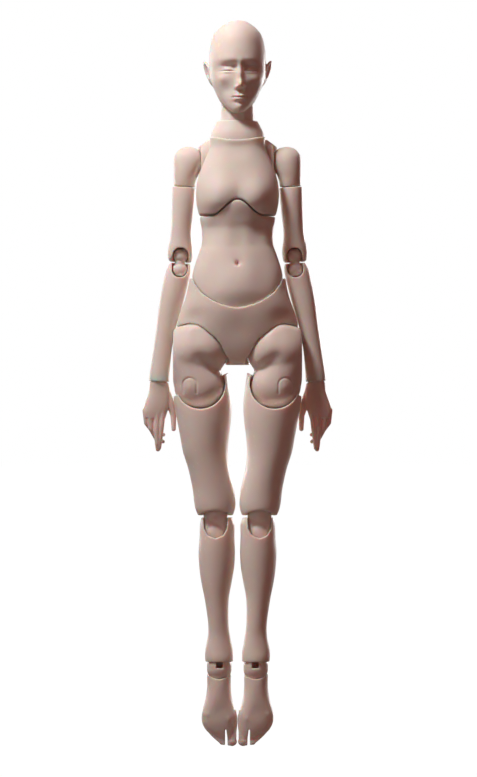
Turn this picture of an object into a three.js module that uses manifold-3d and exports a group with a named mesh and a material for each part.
// A strung ball-jointed figure body: cast resin shells that turn on balls, double-lobed links
// at the elbows and knees, and an elastic cord with steel hooks that holds it together.
// Millimetres, +Z up, +X to the figure's own left, the face looks along -Y.
// The origin is the middle of the flat under the crotch, where a saddle stand carries the body.

import * as THREE from "three";
import { mergeVertices } from "three/addons/utils/BufferGeometryUtils.js";
import Module from "manifold-3d";

const wasm = await Module();
wasm.setup();

// Clearances and stringing
const gap = 0.35; // between a ball and the cup that it turns in
const seam = 0.4; // between two rims that meet
const elasticRadius = 0.8;
const boreRadius = 1.2; // the channel that the elastic runs in
const hookWire = 0.45;

// Pelvis, waist and hips
const hipHalfSpan = 14.8; // from the middle to each hip ball
const hipHeight = 5.8; // hip ball above the crotch
const hipBall = 11.1;
const waistRise = 31.4; // hip balls up to the middle of the bowl that the belly turns in
const waistBall = 18.2;
const bowlDepth = 2.6; // that middle lies this far above the rim of the pelvis
const pelvisHalfWidth = 24.2;
const crotchHalfWidth = 4.4;

// Abdomen, chest and collar
const bellyRise = 22.4; // middle of the bowl up to the lower edge of the chest
const ribRise = 8.4; // that edge up to the hinge line of the chest
const ribRadius = 9.8; // the egg at the foot of the chest, about the left-to-right axis
const ribHalfSpan = 14.2;
const archRise = 6.3; // the abdomen's front rim rises this far between the breasts
const archHalfWidth = 10.4;
const bendRoom = 0.9; // open seam above that rim, in which the chest bends forward
const chestLength = 30.6;
const chestHalfWidth = 16.6;
const collarRise = 1.0; // top of the chest up to the ball on which the collar tilts
const collarBall = 6.6;
const collarLength = 6.4; // that ball up to the collar's top

// Neck and head
const neckBall = 4.4;
const neckRadius = 6.5;
const neckLength = 7.8; // top of the collar up to the ball on which the head nods
const headBall = 6.5;
const headBack = 1.6; // that ball and the neck stand this far behind the middle
const capPlane = 5.2; // the skull parts here, behind the ears
const capRise = 8.0; // and at this height above the ball
const skullRadius = 8.6; // the hollow for the hook
const magnetRise = 28.6; // one magnet in the shell and one in the cap, at the crown
const magnetRadius = 1.8;
const magnetDepth = 1.5;

// Arms
const shoulderDrop = 9.0; // top of the chest down to the shoulder balls
const shoulderX = 20.6; // from the middle to the top of the hanging arm's line
const shoulderBall = 5.5;
const shoulderIn = 0.9; // that ball lies this far inside the line of the arm
const shoulderUp = 0.4; // and this far above its top
const yokeX = 12.2; // the shoulder yoke turns about this point
const yokeRise = 1.2; // above the shoulder ball
const yokeBack = 4.4;
const yokeRadius = 8.0;
const yokeHalfDepth = 5.4;
const capDrop = 9.6; // shoulder ball down to the seam with the upper arm
const elbowIn = 1.38; // each elbow hangs this far inside the widest part of the hips
const elbowDrop = 37.4; // shoulder ball down to the upper elbow hinge
const elbowLobe = 2.85;
const elbowNeck = 2.0; // waist of the double-lobed link
const elbowSpan = 5.6; // between the two elbow hinges
const wristDrop = 44.7; // lower elbow hinge down to the wrist ball
const wristOut = 5.7; // how far the wrist lies outside the line of the upper arm
const wristBall = 2.9;
const wristRise = 0.3; // the forearm ends this far above the wrist ball
const handLength = 29.4;

// Legs
const thighLobeDrop = 14.2; // hip ball down to the ball that carries the lower thigh
const thighBall = 9.9;
const thighLength = 51.2; // that ball down to the upper knee hinge
const kneeX = 8.8;
const kneeLobe = 4.6;
const kneeNeck = 3.4;
const kneeSpan = 7.2; // between the two knee hinges
const shinLength = 54.8; // lower knee hinge down to the ankle ball
const ankleX = 7.3;
const ankleBall = 4.7;
const footLength = 31.2; // ankle ball down to the tip of the toes

// Levels that follow from these sizes
const waistHeight = hipHeight + waistRise;
const pelvisTop = waistHeight - bowlDepth;
const chestRim = waistHeight + bellyRise;
const ribHeight = chestRim + ribRise;
const chestTop = chestRim + chestLength;
const collarHeight = chestTop + collarRise;
const collarTop = collarHeight + collarLength;
const headHeight = collarTop + neckLength;
const capHeight = headHeight + capRise;
const magnetHeight = headHeight + magnetRise;
const shoulderHeight = chestTop - shoulderDrop;
const yokeHeight = shoulderHeight + yokeRise;
const thighHeight = hipHeight - thighLobeDrop;
const kneeHeight = thighHeight - thighLength;
const shinHeight = kneeHeight - kneeSpan;
const ankleHeight = shinHeight - shinLength;
const toeHeight = ankleHeight - footLength;
const elbowLow = -elbowDrop - elbowSpan; // in the hanging arm's own frame, from the shoulder ball
const wristLow = elbowLow - wristDrop;
const armLean = Math.atan((pelvisHalfWidth - elbowIn - shoulderX) / elbowDrop);
const shoulderPoint = [shoulderX - shoulderIn, yokeBack, shoulderHeight + shoulderUp];
const waistPoint = [0, 0, waistHeight];
const headPoint = [0, headBack, headHeight];
const hipPoint = [hipHalfSpan, 0, hipHeight];
const thighPoint = [hipHalfSpan, 0, thighHeight];
const kneePoint = [kneeX, 0, kneeHeight];
const shinPoint = [kneeX, 0, shinHeight];
const anklePoint = [ankleX, 0, ankleHeight];
const elbowPoint = [0, 0, -elbowDrop];
const elbowLowPoint = [0, 0, elbowLow];
const wristPoint = [wristOut, 0, wristLow];
const farSide = 2 * pelvisHalfWidth; // outside everything, for cuts that run right through

const resin = new THREE.MeshStandardMaterial({ color: 0xe9d2c6, roughness: 0.5, metalness: 0 });
const jointResin = new THREE.MeshStandardMaterial({ color: 0xe4cabd, roughness: 0.42, metalness: 0 });
const cord = new THREE.MeshStandardMaterial({ color: 0xf2efe9, roughness: 0.8, metalness: 0 });
const steel = new THREE.MeshStandardMaterial({ color: 0xb9bcc0, roughness: 0.3, metalness: 1 });

// A closed geometry as a solid that can be cut and joined.
function solid(geometry) {
  const bare = geometry.index ? geometry.toNonIndexed() : geometry.clone();
  bare.deleteAttribute("normal");
  bare.deleteAttribute("uv");
  const merged = mergeVertices(bare, 1e-4);
  return new wasm.Manifold(
    new wasm.Mesh({
      numProp: 3,
      vertProperties: merged.attributes.position.array,
      triVerts: new Uint32Array(merged.index.array),
    }),
  );
}

// A finished solid as a named mesh.
function piece(name, made, material) {
  const mesh = made.getMesh();
  const geometry = new THREE.BufferGeometry();
  geometry.setAttribute("position", new THREE.BufferAttribute(new Float32Array(mesh.vertProperties), 3));
  geometry.setIndex(new THREE.BufferAttribute(new Uint32Array(mesh.triVerts), 1));
  geometry.computeVertexNormals();
  const shown = new THREE.Mesh(geometry, material);
  shown.name = name;
  return shown;
}

// A smooth value between rows, through all of them.
function between(rows, position, column) {
  const last = rows.length - 1;
  const i = Math.min(Math.floor(position), last - 1);
  const t = position - i;
  const p1 = rows[i][column];
  const p2 = rows[i + 1][column];
  const p0 = i > 0 ? rows[i - 1][column] : 2 * p1 - p2;
  const p3 = i + 2 <= last ? rows[i + 2][column] : 2 * p2 - p1;
  const cubic = t * t * t * (3 * (p1 - p2) + p3 - p0);
  const square = t * t * (2 * p0 - 5 * p1 + 4 * p2 - p3);
  return p1 + 0.5 * (cubic + square + t * (p2 - p0));
}

// A skin over level rings. Each row is height, middle x, half width, front y and back y, from the
// top down. steps rings are laid from each row to the next, and box squares the corners a little.
function loft(rows, { sides = 20, steps = 2, box = 1 } = {}) {
  const points = [];
  const faces = [];
  const rings = (rows.length - 1) * steps;
  for (let r = 0; r <= rings; r++) {
    const at = r / steps;
    const [z, x, half, front, back] = [0, 1, 2, 3, 4].map((column) => between(rows, at, column));
    for (let s = 0; s < sides; s++) {
      const a = (2 * Math.PI * (s + 0.5)) / sides;
      const c = Math.sign(Math.cos(a)) * Math.abs(Math.cos(a)) ** box;
      const d = Math.sign(Math.sin(a)) * Math.abs(Math.sin(a)) ** box;
      points.push(x + half * c, (front + back) / 2 + ((back - front) / 2) * d, z);
    }
  }
  for (let r = 0; r < rings; r++)
    for (let s = 0; s < sides; s++) {
      const a = r * sides + s;
      const b = r * sides + ((s + 1) % sides);
      faces.push(a, a + sides, b, b, a + sides, b + sides);
    }
  for (const [row, level, turn] of [[rows[0], 0, 1], [rows[rows.length - 1], rings, -1]]) {
    const middle = points.length / 3;
    points.push(row[1], (row[3] + row[4]) / 2, row[0]);
    for (let s = 0; s < sides; s++) {
      const a = level * sides + s;
      const b = level * sides + ((s + 1) % sides);
      faces.push(middle, ...(turn > 0 ? [a, b] : [b, a]));
    }
  }
  const geometry = new THREE.BufferGeometry();
  geometry.setAttribute("position", new THREE.BufferAttribute(new Float32Array(points), 3));
  geometry.setIndex(faces);
  return solid(geometry);
}

// Rows along a bone: the first value is the share of the way from one joint to the next, and the
// second how far the section stands outwards of the straight line between them.
function limb(from, to, rows) {
  const [x0, z0] = [from[0], from[from.length - 1]];
  const [x1, z1] = [to[0], to[to.length - 1]];
  return rows.map(([share, out, ...rest]) => [z0 + share * (z1 - z0), x0 + share * (x1 - x0) + out, ...rest]);
}

// A ball, or an egg where the three radii differ. Its poles lie along Z.
function ball(radius, at = [0, 0, 0], sides = 20) {
  const [rx, ry, rz] = Array.isArray(radius) ? radius : [radius, radius, radius];
  const made = new THREE.SphereGeometry(1, sides, Math.round(sides / 2));
  made.rotateX(Math.PI / 2).scale(rx, ry, rz).translate(...at);
  return solid(made);
}

// The hollow in which a ball of that radius turns: its flats stay clear of the ball by the gap.
function cup(radius, at = [0, 0, 0], sides = 20) {
  const grow = 1 / Math.cos(Math.PI / sides) ** 2;
  const radii = (Array.isArray(radius) ? radius : [radius, radius, radius]).map((r) => (r + gap) * grow);
  return ball(radii, at, sides);
}

// A round bar from one point to another.
function bar(radius, from, to, sides = 8) {
  const a = new THREE.Vector3(...from);
  const b = new THREE.Vector3(...to);
  const along = b.clone().sub(a);
  const made = new THREE.CylinderGeometry(radius, radius, along.length(), sides);
  const up = new THREE.Vector3(0, 1, 0);
  made.applyQuaternion(new THREE.Quaternion().setFromUnitVectors(up, along.normalize()));
  made.translate(...a.add(b).multiplyScalar(0.5).toArray());
  return solid(made);
}

// A block between two corners.
function block(low, high) {
  const size = low.map((v, i) => high[i] - v);
  const made = new THREE.BoxGeometry(...size);
  return solid(made.translate(...low.map((v, i) => v + size[i] / 2)));
}

// A bore for the elastic.
const channel = (from, to, radius = boreRadius) => bar(radius, from, to, 6);

// A slab with a drawn outline in the X-Z plane, from y0 to y1.
function slab(outline, y0, y1) {
  const shape = new THREE.Shape(outline.map(([x, z]) => new THREE.Vector2(x, z)));
  const made = new THREE.ExtrudeGeometry(shape, { depth: y1 - y0, bevelEnabled: false });
  return solid(made.rotateX(Math.PI / 2).translate(0, y1, 0));
}

// A slab with a drawn outline in the Y-Z plane, from x0 to x1.
function sideSlab(outline, x0, x1) {
  const shape = new THREE.Shape(outline.map(([y, z]) => new THREE.Vector2(y, z)));
  const made = new THREE.ExtrudeGeometry(shape, { depth: x1 - x0, bevelEnabled: false });
  return solid(made.rotateX(Math.PI / 2).rotateZ(Math.PI / 2).translate(x0, 0, 0));
}

// Two lobes on a short neck, with the upper lobe's middle at the origin and the lower one below it.
function peanut(lobe, span, neck, sides = 14) {
  const profile = [];
  const arcSteps = 5;
  const lap = Math.acos(Math.min(0.99, span / 2.6 / lobe));
  for (let i = 0; i <= arcSteps; i++) {
    const a = -Math.PI / 2 + ((Math.PI - lap) * i) / arcSteps;
    profile.push(new THREE.Vector2(lobe * Math.cos(a), -span + lobe * Math.sin(a)));
  }
  profile.push(new THREE.Vector2(neck, -span / 2));
  for (let i = arcSteps; i >= 0; i--) {
    const a = -Math.PI / 2 + ((Math.PI - lap) * i) / arcSteps;
    profile.push(new THREE.Vector2(lobe * Math.cos(a), -lobe * Math.sin(a)));
  }
  profile[0].x = 0;
  profile[profile.length - 1].x = 0;
  return solid(new THREE.LatheGeometry(profile, sides).rotateX(Math.PI / 2));
}

// The U-shaped notch that lets a lobe swing: a tunnel from the hinge towards y, open above or below.
function notch(lobe, at, towards, open) {
  const r = lobe + gap;
  const [x, y, z] = at;
  const ends = towards < 0 ? [towards, y] : [y, towards];
  const tunnel = bar(r / Math.cos(Math.PI / 12), [x, ends[0], z], [x, ends[1], z], 12);
  const room = open > z ? [z, open] : [open, z];
  return tunnel.add(block([x - r, ends[0], room[0]], [x + r, ends[1], room[1]]));
}

// A steel S-hook that hangs the elastic on a pin, lying in the Y-Z plane round the origin.
function hook(height) {
  const r = height / 4;
  const points = [];
  const turns = 5;
  for (let i = 0; i <= turns; i++) {
    const a = -0.3 + (Math.PI * 1.15 * i) / turns;
    points.push(new THREE.Vector3(0, -r * Math.cos(a), r + r * Math.sin(a)));
  }
  for (let i = turns; i >= 0; i--) {
    const a = -0.3 + (Math.PI * 1.15 * i) / turns;
    points.push(new THREE.Vector3(0, r * Math.cos(a), -r - r * Math.sin(a)));
  }
  const path = new THREE.CatmullRomCurve3(points);
  const wire = new THREE.Shape();
  wire.absarc(0, 0, hookWire, 0, 2 * Math.PI);
  const drawn = { extrudePath: path, steps: 14, curveSegments: 3, bevelEnabled: false };
  return solid(new THREE.ExtrudeGeometry(wire, drawn));
}

// The far side of the body is the near side seen in a mirror.
function pair(name, made, material) {
  const other = made.mirror([1, 0, 0]);
  return [piece(name + "_left", made, material), piece(name + "_right", other, material)];
}

// A run of the elastic between two points.
function elastic(from, to) {
  return bar(elasticRadius, from, to, 6);
}

function pelvis() {
  const w = pelvisHalfWidth;
  const body = loft(limb([0, 0], [0, pelvisTop], [
    [1, 0, 0.793 * w, -11.4, 10.2],
    [0.867, 0, 0.826 * w, -12.0, 11.4],
    [0.751, 0, 0.872 * w, -12.3, 12.0],
    [0.618, 0, 0.942 * w, -12.3, 13.0],
    [0.462, 0, w, -11.8, 13.8],
    [0.26, 0, 0.942 * w, -10.4, 13.2],
    [0.087, 0, 0.62 * w, -8.0, 10.2],
    [0, 0, crotchHalfWidth + 1.2, -5.2, 6.4],
  ]), { sides: 24, steps: 1 });
  const edge = crotchHalfWidth;
  const flank = (farSide - edge) * 0.7; // the groin rises at 35 degrees
  const half = [[farSide, farSide], [farSide, flank], [edge, 0]];
  const under = slab([...half, ...half.map(([x, z]) => [-x, z]).reverse()], -farSide, farSide);
  let made = body.intersect(under).subtract(cup(waistBall, waistPoint, 24));
  // The leg arches are cut through the front, and the outline is drawn out from the hip ball.
  const arch = [
    [15.2, -9], [11.2, 7.2], [7.4, 11.2], [4.1, 12.1], [1.8, 11.5], [-0.4, 9.8], [-11.6, -4.2], [-11.6, -9],
  ];
  const cut = slab(arch.map(([out, up]) => [hipHalfSpan + out, hipHeight + up]), -farSide, -1);
  const socket = cup(hipBall, hipPoint, 20).add(cut);
  made = made.subtract(socket).subtract(socket.mirror([1, 0, 0]));
  made = made.subtract(channel([0, 0, hipHeight], waistPoint, boreRadius + 0.6));
  return made.subtract(channel([-hipHalfSpan, 0, hipHeight], hipPoint));
}

// The abdomen's upper rim seen from the front: level at the sides, arched between the breasts.
function rimLine(lift) {
  const arch = [];
  for (let i = -5; i <= 5; i++) {
    const x = (i / 5) * archHalfWidth;
    arch.push([x, chestRim + lift + (archRise * (1 + Math.cos((Math.PI * i) / 5))) / 2]);
  }
  return arch;
}

function abdomen() {
  const trunk = loft(limb([0, waistHeight], [0, chestRim], [
    [1.46, 0, 15.4, -11.6, 9.6],
    [1.2, 0, 15.3, -11.4, 9.6],
    [0.93, 0, 15.0, -10.6, 9.4],
    [0.75, 0, 14.3, -9.8, 8.9],
    [0.5, 0, 14.3, -9.9, 8.4],
    [0.357, 0, 15.3, -10.4, 8.5],
    [0.188, 0, 16.6, -11.1, 8.9],
    [0.018, 0, waistBall - 0.5, -11.9, 9.4],
    [-0.188, 0, waistBall + 0.2, -12.4, 10.2],
    [-0.455, 0, waistBall + 0.2, -12.3, 10.8],
    [-0.9, 0, waistBall + 0.2, -9.4, 10.4],
  ]), { sides: 24, steps: 1 });
  const level = chestRim - seam;
  const split = -0.6; // the arched front rim ends here, and the level back rim begins
  const under = [[-farSide, level], [-farSide, 0], [farSide, 0], [farSide, level]];
  const front = slab([...under, ...rimLine(-seam).reverse()], -farSide, split);
  const sloped = [[split - 0.1, 0], [farSide, 0], [farSide, level - 5.6], [2, level], [split - 0.1, level]];
  const back = sideSlab(sloped, -farSide, farSide);
  const bowl = ball(waistBall, waistPoint, 24);
  const above = block([-farSide, -farSide, waistHeight - 1.5], [farSide, farSide, chestTop]);
  const made = trunk.intersect(front.add(back)).intersect(bowl.add(above));
  const navel = ball([0.9, 1.6, 1.3], [0, -12.4, waistHeight + 0.143 * bellyRise], 8);
  const seat = cup([ribHalfSpan, ribRadius, ribRadius], [0, 0, ribHeight], 16);
  return made.subtract(seat).subtract(navel).subtract(channel([0, 0, 0], [0, 0, chestTop]));
}

function chest() {
  const w = chestHalfWidth;
  const body = loft(limb([0, chestRim], [0, chestTop], [
    [1, 0, w - 5.7, -7.2, 8.6],
    [0.869, 0, w - 4.3, -8.6, 9.4],
    [0.601, 0, w - 1.6, -10.4, 9.8],
    [0.373, 0, w, -11.6, 9.8],
    [0.144, 0, w - 0.4, -12.0, 9.8],
    [0, 0, w - 1.3, -11.0, 9.6],
  ]), { sides: 24, steps: 1 });
  const breast = ball([7.6, 5.6, 7.0], [7.4, -8.4, ribHeight + 0.4], 12);
  const split = 0.7;
  const outline = [[farSide, chestRim], [farSide, chestTop], [-farSide, chestTop], [-farSide, chestRim]];
  const front = slab([...outline, ...rimLine(bendRoom)], -farSide, split);
  const back = block([-farSide, split - 0.1, chestRim], [farSide, farSide, chestTop]);
  let made = body.add(breast).add(breast.mirror([1, 0, 0])).intersect(front.add(back));
  made = made.add(ball([ribHalfSpan, ribRadius, ribRadius], [0, 0, ribHeight], 16));
  made = made.subtract(cup(collarBall, [0, 0, collarHeight], 16));
  // Behind the chest plate the yoke shrugs in this hollow.
  const face = yokeBack - yokeHalfDepth - gap;
  const room = yokeRadius + 1;
  const yoke = cup([yokeRadius, yokeHalfDepth, yokeRadius], [yokeX, yokeBack, yokeHeight], 16);
  const top = bar(room, [yokeX, face, yokeHeight + 1.4], [yokeX, farSide, yokeHeight + 1.4], 16);
  const low = yokeHeight - yokeRadius + 0.1;
  const hollow = yoke.add(top).add(block([yokeX, face, low], [farSide, farSide, chestTop + room]));
  made = made.subtract(hollow).subtract(hollow.mirror([1, 0, 0]));
  made = made.subtract(channel(waistPoint, [0, 0, headHeight]));
  const level = shoulderPoint[2];
  return made.subtract(channel([-yokeX, yokeBack, level], [yokeX, yokeBack, level]));
}

function collar() {
  const flare = loft([
    [collarTop, 0, 8.0, -6.2, 9.0],
    [collarHeight + 0.656 * collarLength, 0, 9.0, -6.9, 9.4],
    [collarHeight + 0.281 * collarLength, 0, 10.4, -7.8, 9.6],
    [chestTop + 0.75, 0, 11.2, -8.4, 9.6],
  ], { sides: 20, steps: 1 });
  const made = flare.add(ball(collarBall, [0, 0, collarHeight], 16));
  const rest = bar(neckRadius + 0.6, [0, headBack, collarTop - 0.9], [0, headBack, headHeight], 20);
  const seat = cup(neckBall, [0, headBack, collarTop - 0.2], 12).add(rest);
  return made.subtract(seat).subtract(channel([0, 0, ribHeight], [0, headBack, collarTop], boreRadius + 0.4));
}

function neck() {
  const foot = collarTop - 0.4;
  const r = neckRadius;
  const column = loft([
    [headHeight + 0.2, 0, r, headBack - r, headBack + r],
    [foot + (headHeight - foot) / 2, 0, r + 0.1, headBack - r, headBack + r],
    [foot, 0, r + 0.3, headBack - r - 0.3, headBack + r + 0.3],
  ], { sides: 20, steps: 2 });
  const lower = ball(neckBall, [0, headBack, collarTop - 0.2], 12);
  const made = column.add(ball(headBall, headPoint, 16)).add(lower);
  return made.subtract(channel([0, headBack, ribHeight], [0, headBack, magnetHeight]));
}

// The head's skin: rings from the crown to the chin, pushed in and out to make the face.
function skull() {
  const rings = [
    [32.2, 2.4, -2.0, 4.4], [31.2, 5.0, -5.4, 7.8], [29.8, 7.0, -7.8, 10.4], [27.6, 9.0, -9.8, 12.4],
    [25, 10.2, -11.2, 13.8], [22, 10.9, -12.0, 14.6], [19, 11.3, -12.5, 14.5], [16.2, 11.4, -12.6, 13.6],
    [14, 11.3, -12.2, 12.6], [12, 11.2, -11.8, 11.6], [10, 11.0, -11.7, 10.6], [8, 10.6, -11.7, 9.8],
    [6, 9.9, -11.5, 9.1], [3.8, 8.9, -11.2, 8.5], [1.6, 7.9, -10.9, 8.0], [-0.4, 6.8, -10.6, 7.4],
    [-2.4, 5.3, -10.4, 5.6], [-4, 3.6, -10.0, 2.4], [-5, 1.8, -9.2, -3.0],
  ];
  const sides = 26;
  const bump = (x, up, cx, cz, wx, wz) => Math.exp(-(((x - cx) / wx) ** 2) - ((up - cz) / wz) ** 2);
  const points = [];
  const faces = [];
  rings.forEach(([up, half, front, back]) => {
    for (let s = 0; s < sides; s++) {
      const a = (2 * Math.PI * s) / sides - Math.PI / 2;
      const [c, d] = [Math.cos(a), Math.sin(a)];
      const x = half * Math.sign(c) * Math.abs(c) ** (d < 0 ? 0.86 : 1);
      let y = (front + back) / 2 + ((back - front) / 2) * d;
      if (d < 0) {
        y += 1.5 * bump(Math.abs(x), up, 5.0, 13.2, 2.9, 2.1);
        y -= 3.0 * bump(x, up, 0, 6.8, 1.5, 1.7) + 1.4 * bump(x, up, 0, 10, 1.2, 2.6);
        y -= 1.1 * bump(x, up, 0, 1.4, 2.6, 1.1);
        y += 0.6 * bump(x, up, 0, -0.5, 3.2, 0.8);
      }
      points.push(x, y, headHeight + up);
    }
  });
  const last = rings.length - 1;
  for (let r = 0; r < last; r++)
    for (let s = 0; s < sides; s++) {
      const a = r * sides + s;
      const b = r * sides + ((s + 1) % sides);
      faces.push(a, a + sides, b, b, a + sides, b + sides);
    }
  points.push(0, 1.2, headHeight + 32.5, 0, -6.6, headHeight - 5.1);
  for (let s = 0; s < sides; s++) {
    const t = (s + 1) % sides;
    faces.push(points.length / 3 - 2, s, t, points.length / 3 - 1, last * sides + t, last * sides + s);
  }
  const geometry = new THREE.BufferGeometry();
  geometry.setAttribute("position", new THREE.BufferAttribute(new Float32Array(points), 3));
  geometry.setIndex(faces);
  return solid(geometry);
}

function skullHollow() {
  return ball([skullRadius, skullRadius + 0.6, skullRadius - 0.2], [0, 3.0, headHeight + 18], 16);
}

function headShell() {
  const ear = ball([1.3, 2.4, 4.2], [11.9, 2.6, headHeight + 11.8], 10);
  let made = skull().add(ear).add(ear.mirror([1, 0, 0]));
  const under = headHeight - farSide;
  const top = headHeight + farSide;
  const before = block([-farSide, -farSide, under], [farSide, capPlane, top]);
  made = made.intersect(before.add(block([-farSide, -farSide, under], [farSide, farSide, capHeight])));
  made = made.subtract(skullHollow()).subtract(cup(headBall, headPoint, 16));
  // The head nods on the neck, so its underside opens in a cone round the ball.
  const coneDepth = 9;
  const cone = new THREE.CylinderGeometry(headBall + gap + 0.1, headBall + 3.9, coneDepth, 20);
  cone.rotateX(Math.PI / 2).translate(0, headBack, headHeight - coneDepth / 2);
  made = made.subtract(solid(cone));
  made = made.subtract(bar(4, headPoint, [0, headBack, headHeight + 14.6], 12));
  const pocket = [0, capPlane - magnetDepth - 0.2, magnetHeight];
  return made.subtract(bar(magnetRadius + 0.1, pocket, [0, farSide, magnetHeight], 16));
}

function headCap() {
  const room = block([-farSide, capPlane + seam, capHeight + seam], [farSide, farSide, headHeight + farSide]);
  const made = skull().intersect(room).subtract(skullHollow());
  const pocket = [0, capPlane + seam + magnetDepth + 0.2, magnetHeight];
  return made.subtract(bar(magnetRadius + 0.1, [0, 0, magnetHeight], pocket, 16));
}

const magnet = (y) => bar(magnetRadius, [0, y, magnetHeight], [0, y + magnetDepth, magnetHeight], 16);

function shoulderYoke() {
  const egg = ball([yokeRadius, yokeHalfDepth, yokeRadius], [yokeX, yokeBack, yokeHeight], 16);
  // Its top slopes down to the cap, and its outer side stands clear of the arm.
  const outline = [
    [0, yokeHeight + 8], [0, 0], [15.4, 0], [15.4, yokeHeight - 3.6], [17, yokeHeight - 2],
    [17, yokeHeight + 5], [15.4, yokeHeight + 5.5], [13.6, yokeHeight + 7], [11.4, yokeHeight + 8],
  ];
  let made = egg.intersect(slab(outline, -farSide, farSide)).subtract(cup(shoulderBall, shoulderPoint, 14));
  // The front corner is cut away, so that the cap shows up to the edge of the chest plate.
  made = made.subtract(block([14.6, -farSide, 0], [farSide, 1.4, farSide * 2]));
  return made.subtract(channel([0, yokeBack, shoulderPoint[2]], shoulderPoint));
}

// The arm is built straight down from the shoulder ball, then leant outwards into its place.
function placeArm(made) {
  const lean = THREE.MathUtils.radToDeg(-armLean);
  return made.rotate([0, lean, 0]).translate([shoulderX, yokeBack, shoulderHeight]);
}

function shoulderCap() {
  const body = loft(limb([0, 0], [0, -capDrop], [
    [0.14, 0.1, 4.5, -4.9, 4.9],
    [0.52, 0.05, 4.5, -5.0, 4.9],
    [1, 0.1, 4.2, -4.6, 4.5],
  ]), { sides: 14, steps: 1 });
  const made = placeArm(body.subtract(cup(3, [0, 0, -capDrop], 12))).add(ball(shoulderBall, shoulderPoint, 16));
  const down = placeArm(channel([0, 0, -2 * capDrop], [0, 0, 0]));
  const level = shoulderPoint[2];
  return made.subtract(down).subtract(channel([0, yokeBack, level], [shoulderX, yokeBack, level]));
}

function upperArm() {
  const end = -elbowDrop - elbowSpan / 2 + seam / 2;
  const body = loft(limb([0, -capDrop - seam], [0, end], [
    [0, 0.2, 4.5, -4.8, 4.7],
    [0.133, 0.2, 4.5, -5.0, 4.7],
    [0.333, 0.1, 4.2, -4.8, 4.5],
    [0.567, 0.2, 3.95, -4.3, 4.2],
    [0.7, 0.25, 4.4, -4.2, 4.3],
    [0.8, 0.25, 4.95, -4.3, 4.5],
    [0.887, 0.2, 5.1, -4.3, 4.6],
    [0.967, 0.1, 4.75, -4.1, 4.4],
    [1, 0, 4.1, -3.5, 3.8],
  ]), { sides: 16, steps: 1 });
  const peg = ball(3, [0, 0, -capDrop], 12);
  const made = body.add(peg).subtract(elbowBend(end, 1)).subtract(elbowSlot(elbowPoint, end - 2));
  return made.subtract(channel([0, 0, 0], elbowPoint));
}

// Both ends of the elbow are cut back in front, so that the arm can fold.
function elbowBend(end, up) {
  const outline = [[-1.3, end - up], [-1.3, end], [-8, end + 8 * up], [-20, end + 8 * up], [-20, end - up]];
  return sideSlab(up > 0 ? outline.reverse() : outline, -20, 20);
}

function elbowSlot(at, open) {
  return notch(elbowLobe, at, -20, open).add(cup(elbowLobe, at, 12));
}

function elbowLink() {
  const made = peanut(elbowLobe, elbowSpan, elbowNeck, 12);
  return made.subtract(bar(boreRadius, [0, 0, 9], [0, 0, -20], 8)).translate(elbowPoint);
}

function forearm() {
  const top = elbowLow + elbowSpan / 2 - seam / 2;
  const rows = limb(elbowLowPoint, wristPoint, [
    [-0.013, 0.3, 4.7, -4.1, 4.5],
    [0.054, 0.5, 5.0, -4.7, 4.8],
    [0.277, 0.92, 4.7, -4.7, 4.6],
    [0.492, 1.1, 4.0, -4.0, 4.0],
    [0.707, 0.92, 3.7, -3.6, 3.6],
    [0.95, 0.2, 3.95, -3.7, 3.7],
    [1 - wristRise / wristDrop, 0, 3.85, -3.85, 3.85],
  ]);
  const body = loft([[top, 0, 4.0, -3.4, 3.8], ...rows], { sides: 14, steps: 1 });
  let made = body.subtract(elbowBend(top, -1)).subtract(elbowSlot(elbowLowPoint, top + 2));
  made = made.subtract(cup(wristBall, wristPoint, 14));
  const hookRoom = limb(elbowLowPoint, wristPoint, [[0.84, 0]])[0];
  made = made.subtract(bar(2.1, wristPoint, [hookRoom[1], 0, hookRoom[0]], 10));
  return made.subtract(channel(elbowLowPoint, wristPoint));
}

function hand() {
  const at = [wristOut, wristLow];
  const tip = [wristOut, wristLow - handLength];
  const palm = loft(limb(at, tip, [
    [0.014, 0.0, 3.0, -1.9, 2.0],
    [0.03, 0.05, 3.65, -2.35, 2.4],
    [0.116, 0.4, 4.2, -2.4, 2.5],
    [0.327, 1.4, 4.9, -2.0, 2.2],
    [0.531, 2.2, 4.5, -1.7, 2.3],
    [0.653, 1.8, 3.5, -1.3, 2.6],
    [0.762, 1.0, 2.7, -0.7, 3.0],
    [0.871, 0.0, 2.0, 0.0, 3.4],
    [0.98, -0.3, 1.0, 1.2, 3.2],
  ]), { sides: 16, steps: 1, box: 0.8 });
  const thumb = loft(limb(at, tip, [
    [0.156, -1.8, 1.9, -1.4, 2.2],
    [0.306, -3.6, 2.0, -1.2, 2.4],
    [0.442, -5.2, 1.6, -0.9, 2.4],
    [0.578, -5.9, 1.35, -0.3, 2.5],
    [0.707, -6.2, 0.8, 0.3, 2.1],
  ]), { sides: 10, steps: 1 });
  let made = palm.add(thumb).add(ball(wristBall, wristPoint, 12));
  for (const x of [-1.9, 0.5, 2.8]) {
    const top = [wristOut + x, -2.1, wristLow - handLength / 2];
    made = made.subtract(bar(0.35, top, [wristOut + 0.45 * x + 0.6, -0.2, tip[1]], 6));
  }
  // The hook hangs on the floor of a slot in the ball.
  const halfSlot = 0.85;
  const slot = block([wristOut - halfSlot, -4, wristLow - 0.5], [wristOut + halfSlot, 4, wristLow + 5]);
  return made.subtract(slot);
}

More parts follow.
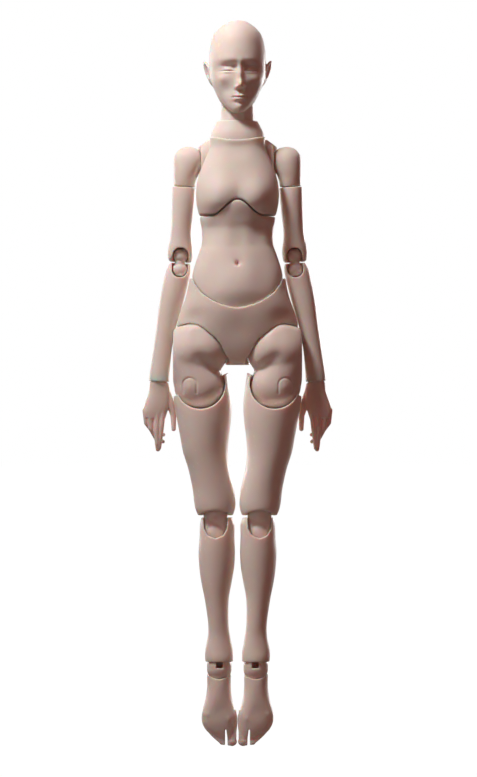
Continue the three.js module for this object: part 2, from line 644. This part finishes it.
function upperThigh() {
  const low = thighHeight;
  const flank = ball([7.6, 8.6, 12.6], [hipHalfSpan + 2.8, 0, (hipHeight + low) / 2], 14);
  const made = ball(hipBall, hipPoint, 20).add(ball(thighBall, thighPoint, 18)).add(flank);
  const arched = bar(3, [0, -20, 0], [0, 0, 0], 12).add(block([-3, -20, -4], [3, 0, 0]));
  const slot = arched.translate([hipHalfSpan + 3.8, -8.3, low + 1]);
  const down = channel(hipPoint, [hipHalfSpan, 0, low - 20]);
  return made.subtract(slot).subtract(down).subtract(channel([0, 0, hipHeight], hipPoint));
}

function lowerThigh() {
  const end = kneeHeight - 0.2;
  const body = loft(limb(thighPoint, kneePoint, [
    [-0.133, -1.0, 10.6, -9.9, 11.2],
    [0.012, -0.3, 11.4, -10.8, 11.8],
    [0.141, -0.15, 11.5, -11.0, 11.6],
    [0.266, 0.2, 10.8, -10.8, 11.2],
    [0.391, 0.75, 9.8, -10.2, 10.6],
    [0.516, 1.1, 9.0, -9.4, 10.0],
    [0.641, 0.55, 8.3, -8.7, 9.3],
    [0.789, -0.27, 8.3, -8.1, 8.6],
    [0.898, -0.3, 8.3, -7.8, 8.1],
    [0.961, -0.13, 7.9, -7.5, 7.8],
    [1.004, 0, 7.0, -6.6, 7.0],
  ]), { sides: 20, steps: 1 });
  // The rim slopes down to the outer side, and dips in an arch in front.
  const high = thighHeight + 7.0;
  const above = slab([[0, high + 11], [0, high], [30, high - 13], [30, high + 11]], -30, 30);
  let made = body.subtract(above).subtract(cup(thighBall, thighPoint, 18));
  const dip = thighHeight + 0.8;
  const archRadius = (thighBall - 0.1) / Math.cos(Math.PI / 20);
  made = made.subtract(bar(archRadius, [hipHalfSpan, -3, dip], [hipHalfSpan, -30, dip], 20));
  const bend = sideSlab([[0.6, end - 1], [0.6, end], [9, end + 10], [20, end + 10], [20, end - 1]], -20, 40);
  made = made.subtract(bend).subtract(kneeSlot(kneePoint, end - 2));
  const front = kneeHeight - 1.2;
  made = made.subtract(bar(kneeLobe - 0.7, [kneeX, -20, front], [kneeX, 0, front], 16));
  return made.subtract(channel(thighPoint, kneePoint));
}

function kneeSlot(at, open) {
  return notch(kneeLobe, at, 20, open).add(cup(kneeLobe, at, 14));
}

function kneeLink() {
  const made = peanut(kneeLobe, kneeSpan, kneeNeck, 14);
  return made.subtract(bar(boreRadius, [0, 0, 9], [0, 0, -20], 8)).translate(kneePoint);
}

function shin() {
  const hinge = shinHeight;
  const top = hinge + 5.4;
  const body = loft([[top, kneeX - 0.6, 6.2, -6.0, 6.2], ...limb(shinPoint, anklePoint, [
    [-0.058, -0.8, 6.9, -7.0, 7.0],
    [0.036, -0.55, 7.0, -7.6, 8.2],
    [0.146, -0.3, 7.3, -7.6, 9.0],
    [0.255, -0.1, 7.0, -7.2, 9.0],
    [0.365, 0.15, 6.1, -6.6, 8.0],
    [0.493, 0.25, 4.8, -5.7, 6.4],
    [0.657, -0.1, 4.1, -4.9, 4.9],
    [0.752, -0.25, 4.4, -4.5, 4.6],
    [0.85, -0.1, 5.4, -4.9, 5.1],
    [0.905, 0, 5.9, -5.3, 5.7],
    [0.942, -0.1, 5.6, -5.1, 5.5],
  ])], { sides: 18, steps: 1 });
  const folded = [[20, top + 1], [20, top - 9.4], [9, top - 9.4], [0, top], [0, top + 1]];
  let made = body.subtract(sideSlab(folded, -20, 40));
  made = made.subtract(kneeSlot(shinPoint, top + 2));
  const scoop = [
    [-5.6, 6.4], [-4.4, 1], [-2.6, -1.6], [0, -2.4], [2.6, -1.6], [4.4, 1], [5.6, 6.4],
  ];
  const front = slab(scoop.map(([out, up]) => [kneeX + out, hinge + up]), -20, 0);
  made = made.subtract(front).subtract(cup(ankleBall, anklePoint, 14));
  return made.subtract(channel(shinPoint, anklePoint));
}

function ankle() {
  const made = ball(ankleBall, anklePoint, 14);
  const halfSlot = 1.3;
  const slot = block([ankleX - halfSlot, -4, ankleHeight - 8], [ankleX + halfSlot, 4, ankleHeight - 1.6]);
  return made.subtract(slot).subtract(channel([ankleX, 0, ankleHeight - 3], [ankleX, 0, ankleHeight + 9]));
}

function foot() {
  const body = loft(limb(anklePoint, [ankleX, toeHeight], [
    [0.103, -0.2, 4.7, -4.2, 6.6],
    [0.205, -0.2, 4.8, -4.6, 8.6],
    [0.333, 0, 5.1, -4.6, 7.4],
    [0.462, 0.1, 5.7, -4.2, 4.6],
    [0.558, 0, 6.3, -4.0, 3.8],
    [0.673, 0, 6.7, -3.6, 3.6],
    [0.801, -0.5, 6.2, -3.0, 3.6],
    [0.897, -1.4, 5.3, -2.2, 3.0],
    [0.968, -2.4, 4.2, -1.6, 2.6],
    [1, -3.1, 3.2, -0.8, 2.0],
  ]), { sides: 20, steps: 1, box: 0.85 });
  let made = body.subtract(cup(ankleBall, anklePoint, 14));
  made = made.subtract(block([ankleX - 2.8, -9, toeHeight - 3], [ankleX - 2.2, 9, toeHeight + 5.8]));
  for (const [out, up] of [[-0.3, 4.8], [1.7, 5.8], [3.5, 6.8]]) {
    const top = [ankleX + out, -3.6, toeHeight + up];
    made = made.subtract(bar(0.35, top, [top[0] - 0.4, -1.4, top[2] - 5], 6));
  }
  return made.subtract(bar(2.3, anklePoint, [ankleX, 0.6, ankleHeight - 0.4 * footLength], 12));
}

const root = new THREE.Group();
const show = (...pieces) => pieces.forEach((p) => root.add(p));
const arm = placeArm;
const along = (from, to, t) => from.map((v, i) => v + (to[i] - v) * t);

show(piece("head_shell", headShell(), resin), piece("head_cap", headCap(), resin));
show(piece("head_magnet", magnet(capPlane - magnetDepth - 0.05), steel));
show(piece("cap_magnet", magnet(capPlane + seam), steel));
show(piece("neck", neck(), resin), piece("collar", collar(), resin), piece("chest", chest(), resin));
show(piece("abdomen", abdomen(), resin), piece("pelvis", pelvis(), resin));
show(...pair("shoulder_yoke", shoulderYoke(), resin), ...pair("shoulder_cap", shoulderCap(), resin));
show(...pair("upper_arm", arm(upperArm()), resin), ...pair("elbow_link", arm(elbowLink()), jointResin));
show(...pair("forearm", arm(forearm()), resin), ...pair("hand", arm(hand()), resin));
show(...pair("upper_thigh", upperThigh(), jointResin), ...pair("lower_thigh", lowerThigh(), resin));
show(...pair("knee_link", kneeLink(), jointResin), ...pair("shin", shin(), resin));
show(...pair("ankle_ball", ankle(), jointResin), ...pair("foot", foot(), resin));

// The stringing: a run in each piece, its ends a little inside the piece's own joint surfaces.
const neckTop = headHeight + headBall;
const neckFoot = collarTop - 0.2 - neckBall;
const collarFoot = collarHeight - collarBall;
const ribFoot = ribHeight - ribRadius;
const waistFoot = waistHeight - waistBall;
const hipInner = hipHalfSpan - hipBall;
show(piece("neck_hook", hook(4.4).translate([0, headBack, neckTop + 2.4]), steel));
show(piece("cord_neck", elastic([0, headBack, neckFoot + 0.4], [0, headBack, neckTop - 0.4]), cord));
show(piece("cord_collar", elastic([0, 0.2, collarFoot + 0.4], [0, headBack, neckFoot - 0.9]), cord));
show(piece("cord_chest", elastic([0, 0, ribFoot + 0.5], [0, 0, collarFoot - 0.8]), cord));
show(piece("cord_abdomen", elastic([0, 0, waistFoot + 0.6], [0, 0, ribFoot - 0.9]), cord));
show(piece("cord_waist", elastic([0, 0, hipHeight + 1.6], [0, 0, waistFoot - 0.8]), cord));
show(piece("cord_hips", elastic([-hipInner + 0.8, 0, hipHeight], [hipInner - 0.8, 0, hipHeight]), cord));
const shoulderInner = [shoulderPoint[0] - shoulderBall + 0.5, yokeBack, shoulderPoint[2]];
show(...pair("cord_shoulder", elastic(shoulderInner, shoulderPoint), cord));
const armRun = elastic([0, 0, -capDrop], [0, 0, -elbowDrop + elbowLobe + 0.8]);
show(...pair("cord_upper_arm", arm(armRun), cord));
const forearmRun = elastic(along(elbowLowPoint, wristPoint, 0.09), along(elbowLowPoint, wristPoint, 0.84));
show(...pair("cord_forearm", arm(forearmRun), cord));
const handHook = hook(4.6).translate([wristOut - 0.35, 0, wristLow + wristBall + 0.4]);
show(...pair("hand_hook", arm(handHook), steel));
show(...pair("cord_hip", elastic([hipInner + 0.5, 0, hipHeight], hipPoint), cord));
const thighRun = elastic([hipHalfSpan, 0, hipHeight - 1.8], [hipHalfSpan, 0, thighHeight - thighBall + 0.5]);
show(...pair("cord_thigh", thighRun, cord));
const lowerRun = elastic(along(thighPoint, kneePoint, 0.215), along(thighPoint, kneePoint, 0.885));
show(...pair("cord_lower_thigh", lowerRun, cord));
const shinRun = elastic(along(shinPoint, anklePoint, 0.105), along(shinPoint, anklePoint, 0.895));
show(...pair("cord_shin", shinRun, cord));
show(...pair("foot_hook", hook(4.6).translate([ankleX, 0.2, ankleHeight - ankleBall - 3.1]), steel));

export default root;
